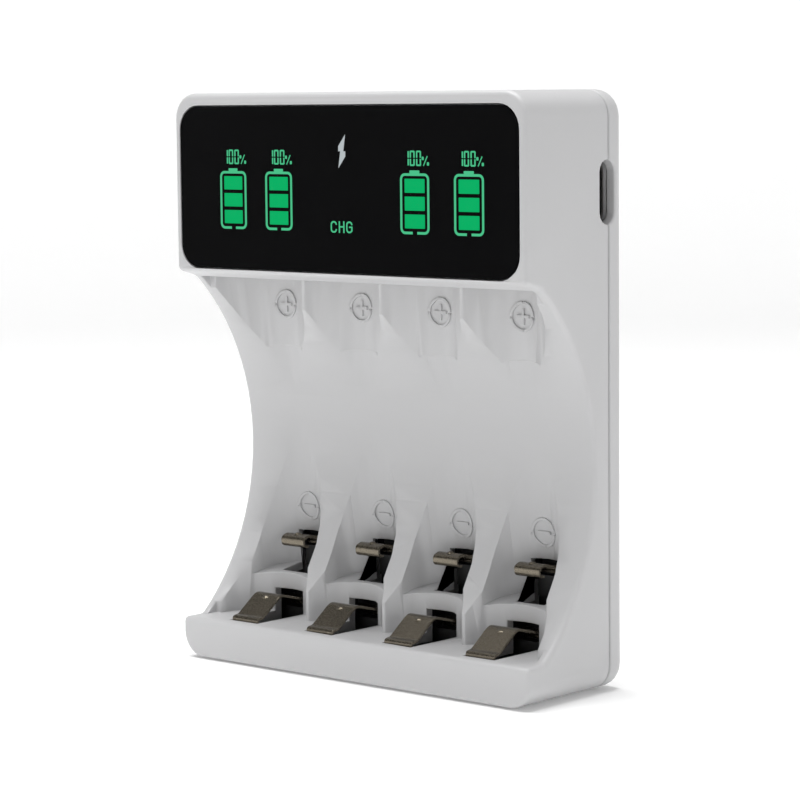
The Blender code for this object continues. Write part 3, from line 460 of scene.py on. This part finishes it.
# Contacts. Strip steel, stamped, bent and nickel plated; the negative ones are hooked over at
# the rear, and the positive ones are plates with a dome under the ceilings.
CONTACT_EDGE = 0.06 * MM
# Nickel plate: a warm grey metal, a little uneven in tone and gloss.
nickel = finish_of("nickel_plate", "7A7366", 0.26, 0.12 * MM, 0.002 * MM, metallic=1.0, spread=0.07,
                   tone=0.12)
for bay in range(1, 5):
    for contact, body in (("aa_negative_contact_%d", "aa_spring_%d" % bay),
                          ("aaa_negative_contact_%d", "aaa_spring_%d" % bay),
                          ("positive_contact_%d", "charger")):
        moulded_copy(contact % bay, body, nickel, CONTACT_EDGE, 40)


# Inner pieces. The carrier, inlet, display stack, board and wiring keep their CAD shapes.
# Each gets the finish of its material; little of them shows from outside.
# Nylon: dull black. On the carrier behind the slots this black is also painted shade: it darkens the slots in
# the bays as the shade deep inside them would.
nylon_and_slot_shade = finish_of("black_nylon", "161617", 0.55, 0.2 * MM, 0.006 * MM, IOR=1.53)
# Steel of the inlet: a plain bright grey rim.
shell_steel = finish_of("inlet_steel", "A8A6A2", 0.3, 0.1 * MM, 0.002 * MM, metallic=1.0)
# Glass of the display panel: near black and glossy.
glass = finish_of("panel_glass", "10181A", 0.08, 0.4 * MM, 0.0005 * MM, spread=0.02)
# Plastic of the light box and resin of its LEDs: matt white, and a pale yellow.
reflector = finish_of("white_reflector", "EDEDEA", 0.5, 0.3 * MM, 0.005 * MM)
resin = finish_of("led_resin", "E3E6B8", 0.3, 0.2 * MM, 0.002 * MM)
# Board and what stands on it: green laminate, black epoxy, dark ferrite, pale aluminium.
laminate = finish_of("board_laminate", "1C6B35", 0.42, 0.5 * MM, 0.01 * MM)
epoxy = finish_of("chip_epoxy", "1A1A1B", 0.5, 0.1 * MM, 0.004 * MM)
ferrite = finish_of("ferrite", "3A3A3D", 0.6, 0.15 * MM, 0.01 * MM)
aluminium = finish_of("drawn_aluminium", "C9CACC", 0.32, 0.1 * MM, 0.002 * MM, metallic=1.0)
# Insulation of the lead: black with a slight gloss.
insulation = finish_of("lead_insulation", "151515", 0.45, 0.2 * MM, 0.003 * MM)
# The carrier is a real holder, and its black is in part painted shade for the slots in the bays.
finishes = {
    "contact_carrier": nylon_and_slot_shade, "usb_shell": shell_steel, "usb_tongue": nylon_and_slot_shade, "lcd_panel": glass,
    "light_box": reflector, "main_board": laminate, "charge_controller": epoxy,
    "power_inductor": ferrite, "output_capacitor": aluminium, "negative_bus": nickel,
    "negative_lead": insulation,
}
for number in range(1, 5):
    finishes["backlight_led_%d" % number] = resin
    finishes["cover_screw_%d" % number] = nickel
for name, skin in finishes.items():
    nodes[name].data.materials.clear()
    nodes[name].data.materials.append(skin)


# Floor and light. A round white table with an upturned rim, lit a little from below, stands
# under a soft box, and a weak lamp on the right lights the side.
FLOOR_RADIUS, RIM_HEIGHT, RIM_BEND = 0.9, 0.3, 0.15
FLOOR_DROP = 0.2 * MM
TABLE_GLOW, STUDIO_GLOW = 0.12, 0.2
AIM = Vector((0, 0, 0.045))
bpy.ops.object.select_all(action="DESELECT")
bpy.ops.mesh.primitive_cylinder_add(vertices=96, radius=FLOOR_RADIUS, depth=RIM_HEIGHT,
                                    location=(0, 0, RIM_HEIGHT / 2 - FLOOR_DROP))
floor = bpy.context.object
floor.name = "floor"
bpy.ops.object.mode_set(mode="EDIT")
bpy.ops.mesh.select_mode(type="FACE")
bpy.ops.mesh.select_all(action="DESELECT")
bpy.ops.object.mode_set(mode="OBJECT")
for face in floor.data.polygons:
    face.select = face.normal.z > 0.5
bpy.ops.object.mode_set(mode="EDIT")
bpy.ops.mesh.delete(type="FACE")
bpy.ops.mesh.select_all(action="SELECT")
bpy.ops.mesh.flip_normals()
bpy.ops.object.mode_set(mode="OBJECT")
bend = floor.modifiers.new("bend", "BEVEL")
bend.width, bend.segments = RIM_BEND, 12
apply_modifiers(floor)
bpy.ops.object.shade_smooth()
bpy.ops.object.transform_apply(location=True)
paper = finish_of("white_paper", "FAFAFA", 0.8, 2 * MM, 0.01 * MM, tone=0.01)
paper_shader = paper.node_tree.nodes["Principled BSDF"]
paper_shader.inputs["Emission Color"].default_value = (1.0, 1.0, 1.0, 1.0)
paper_shader.inputs["Emission Strength"].default_value = TABLE_GLOW
floor.data.materials.append(paper)

for name, place, size, power in (("soft_box", (-0.08, -0.04, 0.8), 0.6, 8.0),
                                 ("right_fill", (0.7, 0.2, 0.3), 0.5, 0.3)):
    lamp = bpy.data.objects.new(name, bpy.data.lights.new(name, "AREA"))
    bpy.context.collection.objects.link(lamp)
    lamp.data.size, lamp.data.energy = size, power
    lamp.location = place
    lamp.rotation_euler = (AIM - Vector(place)).to_track_quat("-Z", "Y").to_euler()

world = bpy.data.worlds.new("studio")
world.use_nodes = True
world.node_tree.nodes["Background"].inputs["Color"].default_value = (1.0, 1.0, 1.0, 1.0)
world.node_tree.nodes["Background"].inputs["Strength"].default_value = STUDIO_GLOW
bpy.context.scene.world = world
bpy.context.scene.view_settings.view_transform = "Standard"
